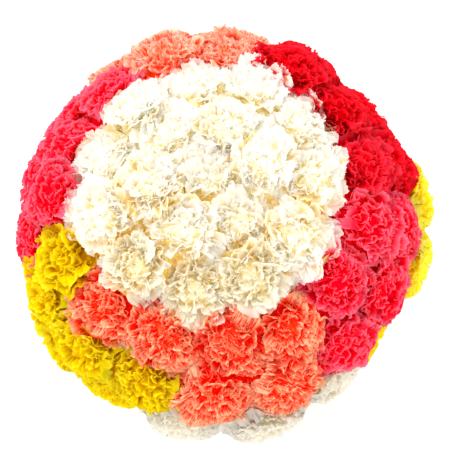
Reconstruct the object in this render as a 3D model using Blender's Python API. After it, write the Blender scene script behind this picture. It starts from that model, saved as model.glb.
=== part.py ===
"""A hand-tied bouquet of double carnations, standing on its cut stem ends.

The blooms cover a low dome, pressed side against side, and each one is its own object.
Their stems and calyxes converge on a waist, are bound there with twine, and fan out again to a flat cut.
Units are metres and +Z is up. The origin is on the surface that the bouquet stands on, below its middle.
"""

import math
import random

import bmesh
import bpy
from mathutils import Matrix, Vector

MM = 0.001

# The dome that the middles of the blooms lie on
DOME_RADIUS = 178 * MM
DOME_HEIGHT = 114 * MM
DOME_LEVEL = 285 * MM  # height of the dome's widest plane
POLE_LEAN = 6.5  # degrees that the pattern's pole leans from the vertical
POLE_TURN = 122.0  # degrees about Z of the side that the pole leans towards

# One entry for each ring of blooms: degrees from the pole, degrees of the first bloom, and their colours
RINGS = (
    (0.0, 0.0, "white"),
    (17.0, 10.0, " ".join(["white"] * 6)),
    (34.2, 0.0, " ".join(["white"] * 11)),
    (54.2, 12.0, "rose red red apricot apricot rose rose rose yellow coral coral coral coral rose rose"),
    (76.0, 16.0, "red red red apricot apricot apricot rose rose rose yellow yellow yellow coral coral "
                 "rose rose rose"),
)
# A part ring hangs lower on the front and the right side: azimuth, distance from the dome's middle as a
# share of the dome's own, and colour of each bloom
SKIRT_POLAR = 102.0
SKIRT = (
    (-148.0, 1.06, "yellow"), (-124.0, 1.05, "yellow"), (-100.0, 1.06, "white"), (-76.0, 1.08, "white"),
    (-53.0, 1.05, "white"), (-31.0, 0.99, "yellow"), (-9.0, 1.09, "yellow"), (13.0, 1.10, "yellow"),
)
SKIRT_RING = len(RINGS)
# How far a bloom may stand from its even place, along the dome and out of it, and lean from its even axis
STRAY = 4.0 * MM
STRAY_OUT = 4.0 * MM
STRAY_LEAN = 7.0  # degrees

# A bloom, measured from the top of its calyx along its own axis
BLOOM_MIDDLE = 21 * MM
BLOOM_SIZES = (0.93, 1.07)
AXIS_TO_TIE = 0.45  # share of a bloom's axis that follows its stem and not the dome's normal
PRESS_GAP = 0.5 * MM  # left between two blooms that press on each other
PRESS_LIFT = 0.35  # rise of a pressed petal's edge, per length that it is pushed in
NEIGHBOUR_REACH = 120 * MM

# Layers of petals, from the outermost inwards: petals, radius and height of the edge, depth of the notch
# between two petals, height of the edge's ruffle, and radius and height of the fold inside the layer
LAYERS = (
    (7, 37.5 * MM, 16.5 * MM, 5.5 * MM, 3.4 * MM, 20.0 * MM, 16.5 * MM),
    (6, 29.0 * MM, 31.0 * MM, 5.5 * MM, 3.2 * MM, 13.0 * MM, 24.0 * MM),
    (5, 17.5 * MM, 40.0 * MM, 5.0 * MM, 2.4 * MM, 6.0 * MM, 29.0 * MM),
)
EDGE_POINTS = (4, 4, 3)  # points along the edge of one petal, in each layer
FOLD_POINTS = (14, 12, 5)  # points round the fold inside each layer
UNDERSIDE_RADIUS = 16.5 * MM
UNDERSIDE_HEIGHT = 7.5 * MM
BLOOM_FOOT_RADIUS = 5.6 * MM
BLOOM_FOOT_POINTS = 6
HEART_HEIGHT = 41.0 * MM

# Calyx and stem
SEAT_GAP = 0.3 * MM
CALYX_LENGTH = 24 * MM
CALYX_RADIUS = 7.0 * MM
CALYX_WAIST = 5.6 * MM
NECK_RADIUS = 2.9 * MM
STEM_RADIUS = 2.3 * MM
OUTER_RINGS = 4  # this ring of blooms and those outside it have stems that can be seen
OUTER_STEPS = (0.0, 0.3, 0.55, 0.8, 1.0)
INNER_STEPS = (0.0, 0.5, 1.0)
OUTER_SIDES = 4
INNER_SIDES = 3

# The waist, where all stems pass through the tie
WAIST_LEVEL = 142 * MM
WAIST_RADII = (0.0, 5.3 * MM, 10.5 * MM, 15.6 * MM, 20.4 * MM, 22.0 * MM)
WAIST_SPLAY = 0.34  # how far a stem leans out where it leaves the waist, per length that it rises
CORE_RADIUS = 26.0 * MM
CORE_HEIGHT = 21.5 * MM
WAIST_SIDES = 16  # of the core and the tie alike, so that the gap between them is even
TWIST = -38.0  # degrees that the stems turn from the blooms down to the waist, and again to the foot
FOOT_SPREAD = 3.8
ROOT_DEPTH = 4 * MM

# Leaves, in pairs on the outer stems above the tie
LEAF_LENGTHS = (62 * MM, 84 * MM)
LEAF_WIDTH = 8.0 * MM
LEAF_THICKNESS = 1.4 * MM
LEAF_PLACES = (0.30, 0.52)  # range of places along the stem, from the waist
LEAF_TURNS = (32.0, 62.0)  # range of degrees that a leaf points outwards from sideways
LEAF_EVERY = 3  # one outer stem of this many bears leaves
LEAF_SECTIONS = ((0.0, 0.3), (0.35, 1.0), (0.7, 0.8))  # place along the blade and share of its width

# The tie: turns of twine wound round the waist
TWINE_DIAMETER = 4.2 * MM
TWINE_TURNS = 5
TIE_GAP = 0.3 * MM

COLOURS = {
    "white": (0.93, 0.89, 0.76),
    "apricot": (0.95, 0.36, 0.16),
    "coral": (0.93, 0.16, 0.07),
    "rose": (0.86, 0.03, 0.08),
    "red": (0.68, 0.004, 0.018),
    "yellow": (0.93, 0.66, 0.01),
    "stem": (0.22, 0.34, 0.13),
    "twine": (0.52, 0.38, 0.20),
}
ROUGHNESS = {"stem": 0.55, "twine": 0.9}
SHARP_ANGLE = 50.0  # degrees


def clear_scene():
    for obj in list(bpy.data.objects):
        bpy.data.objects.remove(obj)


def material(slot):
    found = bpy.data.materials.get(slot)
    if found:
        return found
    made = bpy.data.materials.new(slot)
    made.use_nodes = True
    shader = made.node_tree.nodes["Principled BSDF"]
    shader.inputs["Base Color"].default_value = (*COLOURS[slot], 1.0)
    shader.inputs["Roughness"].default_value = ROUGHNESS.get(slot, 0.7)
    return made


def object_from(bm, name, slot):
    """A new object whose mesh is bm, with its faces pointing out."""
    bmesh.ops.recalc_face_normals(bm, faces=bm.faces)
    mesh = bpy.data.meshes.new(name)
    bm.to_mesh(mesh)
    bm.free()
    mesh.materials.append(material(slot))
    obj = bpy.data.objects.new(name, mesh)
    bpy.context.scene.collection.objects.link(obj)
    return obj


def shade_round(obj):
    obj.data.shade_smooth()
    obj.data.set_sharp_from_angle(angle=math.radians(SHARP_ANGLE))


def turned(azimuth, radius, height=0.0):
    angle = math.radians(azimuth)
    return Vector((radius * math.cos(angle), radius * math.sin(angle), height))


# The dome and its blooms


class Bloom:
    """One carnation's place: its middle, its axis, and where its stem crosses the waist."""

    def __init__(self, ring, waist_azimuth, middle, axis, colour, size, seed):
        self.ring = ring
        self.waist_azimuth = waist_azimuth
        self.middle = middle
        self.axis = axis
        self.colour = colour
        self.size = size
        self.seed = seed
        self.name = ""

    @property
    def base(self):
        """The centre of the flat foot that stands on the calyx."""
        return self.middle - self.axis * BLOOM_MIDDLE

    @property
    def sideways(self):
        """Two directions across the axis."""
        first = self.axis.orthogonal().normalized()
        return first, self.axis.cross(first)


def dome_place(polar, azimuth, outset):
    """The point of the dome at these degrees of the leaning pattern, and the dome's normal there."""
    point = turned(azimuth, math.sin(math.radians(polar)), math.cos(math.radians(polar)))
    lean_axis = turned(POLE_TURN + 90.0, 1.0)
    point = Matrix.Rotation(math.radians(POLE_LEAN), 3, lean_axis) @ point
    place = Vector((point.x * DOME_RADIUS * outset, point.y * DOME_RADIUS * outset, point.z * DOME_HEIGHT))
    normal = Vector((point.x / DOME_RADIUS, point.y / DOME_RADIUS, point.z / DOME_HEIGHT)).normalized()
    return place + Vector((0.0, 0.0, DOME_LEVEL)), normal


def stray(normal, seed):
    """How far one bloom stands from its even place, and what its axis gains by leaning."""
    draw = random.Random(6000 + seed)
    side = normal.orthogonal().normalized()
    other = normal.cross(side)
    shift = (side * draw.uniform(-1.0, 1.0) + other * draw.uniform(-1.0, 1.0)) * STRAY
    shift = shift + normal * draw.uniform(-STRAY_OUT, STRAY_OUT)
    lean = (side * draw.uniform(-1.0, 1.0) + other * draw.uniform(-1.0, 1.0)) * math.radians(STRAY_LEAN)
    return shift, lean


def make_bloom_places():
    """All blooms, ring by ring, with a small seeded variation in size."""
    draw = random.Random(7)
    rows = []
    for ring, (polar, start, colours) in enumerate(RINGS):
        colours = colours.split()
        step = 360.0 / len(colours)
        for i, colour in enumerate(colours):
            rows.append((ring, polar, start + step * i, start + step * i, colour, 1.0))
    # The skirt's stems pass the waist between those of the outermost ring, and keep their order there
    first_gap = start - 360.0 + step * (round((SKIRT[0][0] + 360.0 - start) / step) + 0.5)
    for i, (azimuth, outset, colour) in enumerate(SKIRT):
        rows.append((SKIRT_RING, SKIRT_POLAR, azimuth, first_gap + step * i, colour, outset))
    blooms = []
    counts = {}
    for seed, (ring, polar, azimuth, waist_azimuth, colour, outset) in enumerate(rows):
        middle, normal = dome_place(polar, azimuth, outset)
        shift, lean = stray(normal, seed)
        middle = middle + shift
        from_tie = (middle - Vector((0.0, 0.0, WAIST_LEVEL))).normalized()
        axis = (normal.lerp(from_tie, AXIS_TO_TIE).normalized() + lean).normalized()
        bloom = Bloom(ring, waist_azimuth, middle, axis, colour, draw.uniform(*BLOOM_SIZES), seed)
        counts[colour] = counts.get(colour, 0) + 1
        bloom.name = f"bloom_{colour}_{counts[colour]:02d}"
        blooms.append(bloom)
    return blooms


def pressed(bloom, neighbours, across, height):
    """Where a petal's point goes: across is its offset from the axis, pushed in where a neighbour stands."""
    reach = across.length
    if reach < 1e-9:
        return bloom.base + bloom.axis * height
    way = across / reach
    allowed = reach
    for other in neighbours:
        apart = other.middle - bloom.middle
        distance = apart.length
        apart = apart / distance
        towards = way.dot(apart)
        if towards <= 1e-6:
            continue
        share = bloom.size / (bloom.size + other.size)
        limit = distance * share - PRESS_GAP / 2 - (height - BLOOM_MIDDLE) * bloom.axis.dot(apart)
        allowed = min(allowed, limit / towards)
    height += PRESS_LIFT * (reach - allowed)
    return bloom.base + bloom.axis * height + way * allowed


# Petals


def edge_profile(points):
    """For each point along a petal's edge, from the notch: its depth in the notch and height in the ruffle."""
    if points == 4:
        return ((1.0, -0.9), (0.1, 1.0), (0.0, -0.7), (0.1, 0.9))
    return ((1.0, -1.0), (0.0, 1.0), (0.15, -0.4))


def petal_rings(bloom):
    """The closed rings of one bloom from foot to heart, as lists of (turn, radius, height)."""
    draw = random.Random(1000 + bloom.seed)
    rings = [[(i / BLOOM_FOOT_POINTS, BLOOM_FOOT_RADIUS, 0.0) for i in range(BLOOM_FOOT_POINTS)]]
    under_points = LAYERS[0][0]
    rings.append([(i / under_points, UNDERSIDE_RADIUS, UNDERSIDE_HEIGHT) for i in range(under_points)])
    phase = 0.0
    for layer, points, folds in zip(LAYERS, EDGE_POINTS, FOLD_POINTS):
        petals, radius, height, notch, ruffle, fold_radius, fold_height = layer
        edge = []
        for petal in range(petals):
            lift = draw.uniform(-0.3, 0.6) * ruffle
            length = draw.uniform(-0.04, 0.05) * radius
            for point, (depth, wave) in enumerate(edge_profile(points)):
                turn = (petal + point / points) / petals + phase
                turn += draw.uniform(-0.08, 0.08) / (petals * points)
                out = bloom.size * (radius + length) - notch * depth
                edge.append((turn, out, height + lift + ruffle * wave))
        rings.append(edge)
        rings.append([(i / folds + phase, fold_radius, fold_height) for i in range(folds)])
        phase += 0.5 / petals
    return rings


def bridge(bm, lower, upper):
    """Triangles between two closed rings of (turn, vertex), which may differ in their number of points."""
    count = len(upper)
    first = min(range(count), key=lambda k: abs(upper[k][0] - lower[0][0]))
    upper = [(upper[k % count][0] + k // count, upper[k % count][1]) for k in range(first, first + count)]
    lower = lower + [(lower[0][0] + 1.0, lower[0][1])]
    upper = upper + [(upper[0][0] + 1.0, upper[0][1])]
    i = j = 0
    while i < len(lower) - 1 or j < len(upper) - 1:
        step_upper = i == len(lower) - 1 or (j < len(upper) - 1 and upper[j + 1][0] < lower[i + 1][0])
        if step_upper:
            bm.faces.new((lower[i][1], upper[j + 1][1], upper[j][1]))
            j += 1
        else:
            bm.faces.new((lower[i][1], lower[i + 1][1], upper[j][1]))
            i += 1


def make_bloom(bloom, blooms):
    """One carnation: ruffled layers of petals, folded out of one closed skin round a small solid heart."""
    neighbours = [b for b in blooms if b is not bloom and (b.middle - bloom.middle).length < NEIGHBOUR_REACH]
    right, up = bloom.sideways
    spin = random.Random(500 + bloom.seed).random() * math.tau
    bm = bmesh.new()
    rings = []
    for ring in petal_rings(bloom):
        row = []
        for turn, radius, height in ring:
            angle = spin + math.tau * turn
            across = (right * math.cos(angle) + up * math.sin(angle)) * radius
            row.append((turn, bm.verts.new(pressed(bloom, neighbours, across, height))))
        rings.append(row)
    bm.faces.new([vertex for _, vertex in reversed(rings[0])])
    for lower, upper in zip(rings, rings[1:]):
        bridge(bm, lower, upper)
    heart = bm.verts.new(bloom.base + bloom.axis * HEART_HEIGHT)
    last = [vertex for _, vertex in rings[-1]]
    for i, vertex in enumerate(last):
        bm.faces.new((vertex, last[(i + 1) % len(last)], heart))
    bmesh.ops.triangulate(bm, faces=bm.faces)
    return object_from(bm, bloom.name, bloom.colour)


# Stems, calyxes and leaves


def tube(name, path, radii, sides, ends=(None, None)):
    """A closed tube along path. An end can have a normal of its own, such as a level cut."""
    bm = bmesh.new()
    side = Vector((1.0, 0.0, 0.0))
    rows = []
    for i, (point, radius) in enumerate(zip(path, radii)):
        ahead = path[min(i + 1, len(path) - 1)]
        behind = path[max(i - 1, 0)]
        normal = (ahead - behind).normalized()
        if i == 0 and ends[0]:
            normal = ends[0]
        if i == len(path) - 1 and ends[1]:
            normal = ends[1]
        side = (side - normal * side.dot(normal)).normalized()
        other = normal.cross(side)
        row = []
        for k in range(sides):
            angle = math.tau * k / sides
            row.append(bm.verts.new(point + (side * math.cos(angle) + other * math.sin(angle)) * radius))
        rows.append(row)
    for lower, upper in zip(rows, rows[1:]):
        for k in range(sides):
            after = (k + 1) % sides
            bm.faces.new((lower[k], lower[after], upper[after], upper[k]))
    bm.faces.new(list(reversed(rows[0])))
    bm.faces.new(rows[-1])
    bmesh.ops.triangulate(bm, faces=bm.faces)
    return object_from(bm, name, "stem")


def waist_point(bloom, height):
    """Where a bloom's stem stands in the bundle at the waist."""
    return turned(bloom.waist_azimuth + TWIST, WAIST_RADII[bloom.ring], height)


def bezier(a, b, c, d, t):
    s = 1.0 - t
    return a * s**3 + b * (3 * s * s * t) + c * (3 * s * t * t) + d * t**3


def upper_stem_path(bloom, steps):
    """Points of a stem from inside the core to its calyx. It leans out, then follows the bloom's axis."""
    start = waist_point(bloom, WAIST_LEVEL + CORE_HEIGHT / 2 - ROOT_DEPTH)
    end = bloom.base - bloom.axis * (CALYX_LENGTH + SEAT_GAP)
    span = (end - start).length
    splay = WAIST_SPLAY * WAIST_RADII[bloom.ring] / WAIST_RADII[SKIRT_RING]
    lean = turned(bloom.waist_azimuth + TWIST, splay, 1.0)
    leave = start + lean * (span * 0.34)
    arrive = end - bloom.axis * (span * 0.30)
    return [bezier(start, leave, arrive, end, t) for t in steps]


def is_outer(bloom):
    return bloom.ring >= OUTER_RINGS


def make_upper_stem(bloom):
    path = upper_stem_path(bloom, OUTER_STEPS if is_outer(bloom) else INNER_STEPS)
    radii = [STEM_RADIUS] * (len(path) - 1) + [NECK_RADIUS]
    top = bloom.base - bloom.axis * SEAT_GAP
    path += [top - bloom.axis * (CALYX_LENGTH * 0.72), top]
    radii += [CALYX_WAIST, CALYX_RADIUS]
    upright = Vector((0.0, 0.0, 1.0))
    sides = OUTER_SIDES if is_outer(bloom) else INNER_SIDES
    return tube("stem_upper", path, radii, sides, (upright, bloom.axis))


def make_lower_stem(bloom):
    root = waist_point(bloom, WAIST_LEVEL - CORE_HEIGHT / 2 + ROOT_DEPTH)
    foot = turned(bloom.waist_azimuth + 2 * TWIST, WAIST_RADII[bloom.ring] * FOOT_SPREAD)
    upright = Vector((0.0, 0.0, 1.0))
    sides = OUTER_SIDES if is_outer(bloom) else INNER_SIDES
    return tube("stem_lower", [foot, root], [STEM_RADIUS] * 2, sides, (upright, upright))


def make_leaf(root, rise, away, length):
    """A narrow keeled blade that leaves its stem upwards, bends away from it and droops to a point."""

    def midrib(t):
        climb = rise * (0.62 * t - 0.20 * t * t)
        droop = Vector((0.0, 0.0, -0.22 * t**3))
        return root + (climb + away * (0.28 * t + 0.42 * t * t) + droop) * length

    bm = bmesh.new()
    across = away.cross(rise).normalized()
    rows = []
    for share, width in LEAF_SECTIONS:
        ahead = (midrib(share + 0.05) - midrib(share)).normalized()
        under = across.cross(ahead).normalized() * LEAF_THICKNESS
        reach = across * (LEAF_WIDTH * width / 2)
        middle = midrib(share)
        rows.append([bm.verts.new(middle + offset) for offset in (reach, under, -reach)])
    tip = bm.verts.new(midrib(1.0))
    for lower, upper in zip(rows, rows[1:]):
        for k in range(3):
            after = (k + 1) % 3
            bm.faces.new((lower[k], lower[after], upper[after]))
            bm.faces.new((lower[k], upper[after], upper[k]))
    for k in range(3):
        bm.faces.new((rows[-1][k], rows[-1][(k + 1) % 3], tip))
    bm.faces.new(rows[0])
    return object_from(bm, "leaf", "stem")


def make_leaf_pair(bloom):
    draw = random.Random(2000 + bloom.seed)
    place = draw.uniform(*LEAF_PLACES)
    before, root, after = upper_stem_path(bloom, (place - 0.05, place, place + 0.05))
    rise = (after - before).normalized()
    outward = Vector((root.x, root.y, 0.0)).normalized()
    sideways = outward.cross(rise).normalized()
    leaves = []
    for hand in (-1.0, 1.0):
        turn = math.radians(draw.uniform(*LEAF_TURNS))
        away = sideways * (hand * math.cos(turn)) + outward * math.sin(turn)
        leaves.append(make_leaf(root, rise, away, draw.uniform(*LEAF_LENGTHS)))
    return leaves


def make_core():
    """The packed stems inside the tie, where single stems can't be told apart."""
    middle = Vector((0.0, 0.0, WAIST_LEVEL))
    half = Vector((0.0, 0.0, CORE_HEIGHT / 2))
    upright = Vector((0.0, 0.0, 1.0))
    return tube("stems", [middle - half, middle + half], [CORE_RADIUS] * 2, WAIST_SIDES, (upright, upright))


def join_into(base, pieces):
    """One Boolean union of all pieces with base, applied, with the pieces removed."""
    group = bpy.data.collections.new("to_join")
    bpy.context.scene.collection.children.link(group)
    for piece in pieces:
        bpy.context.scene.collection.objects.unlink(piece)
        group.objects.link(piece)
    union = base.modifiers.new("join", "BOOLEAN")
    union.operation = "UNION"
    union.operand_type = "COLLECTION"
    union.collection = group
    union.solver = "EXACT"
    bpy.context.view_layer.objects.active = base
    bpy.ops.object.modifier_apply(modifier=union.name)
    for piece in pieces:
        bpy.data.objects.remove(piece)
    bpy.data.collections.remove(group)


def make_stems(blooms):
    core = make_core()
    pieces = [make_upper_stem(bloom) for bloom in blooms]
    pieces += [make_lower_stem(bloom) for bloom in blooms]
    outer = [bloom for bloom in blooms if bloom.ring >= SKIRT_RING - 1]
    for bloom in outer[::LEAF_EVERY]:
        pieces += make_leaf_pair(bloom)
    join_into(core, pieces)
    shade_round(core)


# The tie


def tie_profile():
    """Half section of the wound twine, as (radius, height): flat inside, one bump for each turn outside."""
    inner = CORE_RADIUS + TIE_GAP
    half = TWINE_DIAMETER * TWINE_TURNS / 2
    points = [(inner, half * 0.92), (inner, -half * 0.92)]
    for turn in range(TWINE_TURNS):
        middle = -half + TWINE_DIAMETER * (turn + 0.5)
        points.append((inner + TWINE_DIAMETER, middle))
        if turn < TWINE_TURNS - 1:
            points.append((inner + TWINE_DIAMETER * 0.55, middle + TWINE_DIAMETER / 2))
    return points


def make_tie():
    middle = Vector((0.0, 0.0, WAIST_LEVEL))
    profile = tie_profile()
    bm = bmesh.new()
    rows = []
    for k in range(WAIST_SIDES):
        azimuth = 360.0 * k / WAIST_SIDES
        rows.append([bm.verts.new(middle + turned(azimuth, radius, height)) for radius, height in profile])
    for k, row in enumerate(rows):
        following = rows[(k + 1) % WAIST_SIDES]
        for i in range(len(profile)):
            after = (i + 1) % len(profile)
            bm.faces.new((row[i], following[i], following[after], row[after]))
    bmesh.ops.triangulate(bm, faces=bm.faces)
    shade_round(object_from(bm, "tie", "twine"))


def centre_on_origin():
    """Moves everything so that the bounding box's middle is above the origin."""
    corners = [vertex.co for obj in bpy.data.objects for vertex in obj.data.vertices]
    middles = [(min(c[k] for c in corners) + max(c[k] for c in corners)) / 2 for k in (0, 1)]
    for obj in bpy.data.objects:
        obj.data.transform(Matrix.Translation((-middles[0], -middles[1], 0.0)))


def main():
    clear_scene()
    blooms = make_bloom_places()
    for bloom in blooms:
        make_bloom(bloom, blooms)
    make_stems(blooms)
    make_tie()
    centre_on_origin()


main()
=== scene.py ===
"""The carnation bouquet's looks: finely petalled blooms, leafy stems and a twine tie.

Everything is in metres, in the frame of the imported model: +Z up, the photograph's viewer on the -Y side.
"""

import math
import random

import bpy
import numpy as np
from mathutils import Matrix, Vector


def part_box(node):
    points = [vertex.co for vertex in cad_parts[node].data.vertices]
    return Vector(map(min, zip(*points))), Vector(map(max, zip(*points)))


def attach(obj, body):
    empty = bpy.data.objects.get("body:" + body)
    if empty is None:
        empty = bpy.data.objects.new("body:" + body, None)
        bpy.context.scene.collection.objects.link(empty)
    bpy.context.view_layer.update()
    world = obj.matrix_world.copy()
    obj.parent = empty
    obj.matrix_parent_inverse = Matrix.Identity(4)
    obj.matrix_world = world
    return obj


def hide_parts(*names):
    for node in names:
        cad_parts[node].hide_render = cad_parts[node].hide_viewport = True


MM = 0.001

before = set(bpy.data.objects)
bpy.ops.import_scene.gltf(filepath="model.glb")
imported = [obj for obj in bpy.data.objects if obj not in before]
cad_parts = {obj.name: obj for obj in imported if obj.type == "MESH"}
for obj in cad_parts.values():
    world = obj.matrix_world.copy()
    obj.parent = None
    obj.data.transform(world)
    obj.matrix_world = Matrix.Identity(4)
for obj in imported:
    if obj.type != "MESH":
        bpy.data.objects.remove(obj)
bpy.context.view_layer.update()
tie_low, tie_high = (Vector(corner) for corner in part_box("tie"))
WAIST = (tie_low + tie_high) / 2  # the middle of the tie, which the bouquet is built round
CENTRE = Vector((WAIST.x, WAIST.y, 0.0))

# The layout of the bouquet, as the solids have it

# The dome that the middles of the blooms lie on
DOME_RADIUS = 178 * MM
DOME_HEIGHT = 114 * MM
DOME_LEVEL = 285 * MM  # height of its widest plane
POLE_LEAN = 6.5  # degrees that the pattern's pole leans from the vertical
POLE_TURN = 122.0  # degrees about Z of the side that it leans towards
# One entry for each ring of blooms: degrees from the pole, degrees of the first bloom, and their colours
RINGS = (
    (0.0, 0.0, "white"),
    (17.0, 10.0, "white " * 6),
    (34.2, 0.0, "white " * 11),
    (54.2, 12.0, "rose red red apricot apricot rose rose rose yellow coral coral coral coral rose rose"),
    (76.0, 16.0, "red red red apricot apricot apricot rose rose rose yellow yellow yellow coral coral "
                 "rose rose rose"),
)
# A part ring hangs lower on the front and the right side: azimuth, how far out it stands as a share of the
# dome's radius, and colour of each bloom
SKIRT_POLAR = 102.0
SKIRT = (
    (-148.0, 1.06, "yellow"), (-124.0, 1.05, "yellow"), (-100.0, 1.06, "white"), (-76.0, 1.08, "white"),
    (-53.0, 1.05, "white"), (-31.0, 0.99, "yellow"), (-9.0, 1.09, "yellow"), (13.0, 1.10, "yellow"),
)
SKIRT_RING = len(RINGS)
# How far a bloom may stand from its even place, along the dome and out of it, and lean from its even axis
STRAY = 4.0 * MM
STRAY_OUT = 4.0 * MM
STRAY_LEAN = 7.0  # degrees
# A bloom
BLOOM_MIDDLE = 21 * MM  # height of its middle above the top of its calyx, along its own axis
BLOOM_SIZES = (0.93, 1.07)  # range of the factors for its width
BLOOM_HEIGHTS = (0.95, 1.05)  # and for its height
AXIS_TO_TIE = 0.45  # share of its axis that follows its stem, not the dome's normal
NEIGHBOUR_REACH = 120 * MM  # blooms further apart don't press on each other
# Calyxes and stems, and the waist that all stems pass through
CALYX_LENGTH = 24 * MM
CALYX_RADIUS = 7.0 * MM
SEAT_GAP = 0.3 * MM
STEM_RADIUS = 2.3 * MM
WAIST_RADII = (0.0, 5.3 * MM, 10.5 * MM, 15.6 * MM, 20.4 * MM, 22.0 * MM)  # for each ring and the skirt
WAIST_SPLAY = 0.34  # how far the outermost stems lean out from the waist, per length that they rise
CORE_HEIGHT = 21.5 * MM  # of the tied part of the bunch
CORE_RADIUS = 26.0 * MM
TWIST = -38.0  # degrees that the stems turn from the blooms down to the waist, and again to the foot
FOOT_SPREAD = 3.8  # how much wider the stems stand at the foot than at the waist
ROOT_DEPTH = 4 * MM  # how deep the ends of the stems lie in the tied part
# The tie
TWINE_DIAMETER = 4.2 * MM
TWINE_TURNS = 5


def turned(azimuth, radius, height=0.0):
    angle = math.radians(azimuth)
    return Vector((radius * math.cos(angle), radius * math.sin(angle), height))


class Bloom:
    """One carnation's place: its middle, its axis, and where its stem crosses the waist."""

    def __init__(self, ring, waist_azimuth, middle, axis, colour, size, seed, name):
        self.ring = ring
        self.waist_azimuth = waist_azimuth
        self.middle = middle
        self.axis = axis
        self.colour = colour
        self.size = size
        self.seed = seed
        self.name = name

    @property
    def base(self):
        """The top of its calyx, where its petals start."""
        return self.middle - self.axis * BLOOM_MIDDLE


def dome_place(polar, azimuth, outset):
    """The point of the dome at these degrees of the leaning pattern, and the dome's normal there."""
    point = turned(azimuth, math.sin(math.radians(polar)), math.cos(math.radians(polar)))
    lean_axis = turned(POLE_TURN + 90.0, 1.0)
    point = Matrix.Rotation(math.radians(POLE_LEAN), 3, lean_axis) @ point
    place = Vector((point.x * DOME_RADIUS * outset, point.y * DOME_RADIUS * outset, point.z * DOME_HEIGHT))
    normal = Vector((point.x / DOME_RADIUS, point.y / DOME_RADIUS, point.z / DOME_HEIGHT)).normalized()
    return CENTRE + place + Vector((0.0, 0.0, DOME_LEVEL)), normal


def stray(normal, seed):
    """How far one bloom stands from its even place, and what its axis gains by leaning."""
    draw = random.Random(6000 + seed)
    side = normal.orthogonal().normalized()
    other = normal.cross(side)
    shift = (side * draw.uniform(-1.0, 1.0) + other * draw.uniform(-1.0, 1.0)) * STRAY
    shift = shift + normal * draw.uniform(-STRAY_OUT, STRAY_OUT)
    lean = (side * draw.uniform(-1.0, 1.0) + other * draw.uniform(-1.0, 1.0)) * math.radians(STRAY_LEAN)
    return shift, lean


def make_bloom_places():
    """All blooms, ring by ring, with a small seeded variation in place, lean and size."""
    draw = random.Random(7)
    rows = []
    for ring, (polar, start, colours) in enumerate(RINGS):
        colours = colours.split()
        step = 360.0 / len(colours)
        for i, colour in enumerate(colours):
            rows.append((ring, polar, start + step * i, start + step * i, colour, 1.0))
    # The skirt's stems pass the waist between those of the outermost ring, and keep their order there
    first_gap = start - 360.0 + step * (round((SKIRT[0][0] + 360.0 - start) / step) + 0.5)
    for i, (azimuth, outset, colour) in enumerate(SKIRT):
        rows.append((SKIRT_RING, SKIRT_POLAR, azimuth, first_gap + step * i, colour, outset))
    blooms = []
    counts = {}
    for seed, (ring, polar, azimuth, waist_azimuth, colour, outset) in enumerate(rows):
        middle, normal = dome_place(polar, azimuth, outset)
        shift, lean = stray(normal, seed)
        middle = middle + shift
        from_tie = (middle - WAIST).normalized()
        axis = (normal.lerp(from_tie, AXIS_TO_TIE).normalized() + lean).normalized()
        counts[colour] = counts.get(colour, 0) + 1
        name = f"bloom_{colour}_{counts[colour]:02d}"
        size = draw.uniform(*BLOOM_SIZES)
        blooms.append(Bloom(ring, waist_azimuth, middle, axis, colour, size, seed, name))
    return blooms


# Colours and materials


def srgb(code):
    """A colour given as six hex digits, in the linear values that shaders take."""
    values = [int(code[i : i + 2], 16) / 255.0 for i in (0, 2, 4)]
    return tuple(v / 12.92 if v <= 0.04045 else ((v + 0.055) / 1.055) ** 2.4 for v in values) + (1.0,)


# The colours of a petal from its open blade into the folds (light, body, fold and deep, where fold and deep
# are partly the petal's own deeper colour near its claw and partly painted shade in the folds), of its rim
# and of its streaks, and then how much of the streaks, of the rim and of the blotches shows
PETALS = {
    "white": ("FDFDFC", "FEFDFA", "FFFCF3", "FFEFAC", "FDFDFB", "FFFBE6", 0.30, 0.8, 0.3),
    # The next three are the white with painted shade: a little, more towards the front, and greyer for the
    # low skirt
    "milk": ("FCFBF9", "FEFCF7", "FFFBEB", "FFE66C", "FDFCFA", "FFF8DC", 0.30, 0.8, 0.3),
    "cream": ("FAF8F0", "FAF6E8", "FAF1D0", "F9D95A", "FBFAF4", "F8EEC8", 0.40, 0.8, 0.4),
    "shaded_white": ("F4F2EC", "F3F0E6", "F2EBD6", "ECDCAA", "F6F5F0", "EEE8D2", 0.30, 0.8, 0.3),
    "apricot": ("FFE8CA", "FFD0A8", "FF9A62", "FF501E", "FFEAD4", "FF4014", 0.90, 0.6, 0.8),
    "coral": ("FFE2B4", "FFB684", "FF5C30", "FF1400", "FFE0B8", "FF1C04", 0.95, 0.6, 1.2),
    "rose": ("FF345E", "FF0630", "F80026", "E0001C", "FFB0CE", "F8001C", 0.45, 0.62, 0.8),
    "crimson": ("FF2440", "F80624", "E40018", "C00010", "FF6C88", "E40014", 0.50, 0.4, 0.7),
    "red": ("FF1C34", "F4061E", "DC0012", "B8000C", "FF586E", "DC0010", 0.50, 0.30, 0.6),
    "yellow": ("FAEE00", "F2DA00", "E8BC00", "D69600", "FEF838", "E8C000", 0.40, 0.6, 0.5),
    "lemon": ("FFFC38", "FFF410", "FCE000", "F0C000", "FFFF88", "FCE000", 0.40, 0.8, 0.5),
}
FRONT_SHADED_BELOW = -45 * MM  # y of the crown's white blooms towards the front that get creamier, darker colours: painted shade on the side away from the sun
LIGHTLY_SHADED_BELOW = 35 * MM  # y of those that get a little creamier and darker: lighter painted shade
CRIMSON_FROM = -5 * MM  # y of the rose blooms at the right that are deeper
LEMON_FROM = -60 * MM  # y of the yellow blooms at the right that are paler
SHADE_STOPS = (0.06, 0.34, 0.62, 0.95)  # how far into the folds, and so into painted shade, a petal is where it has the first four
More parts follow.
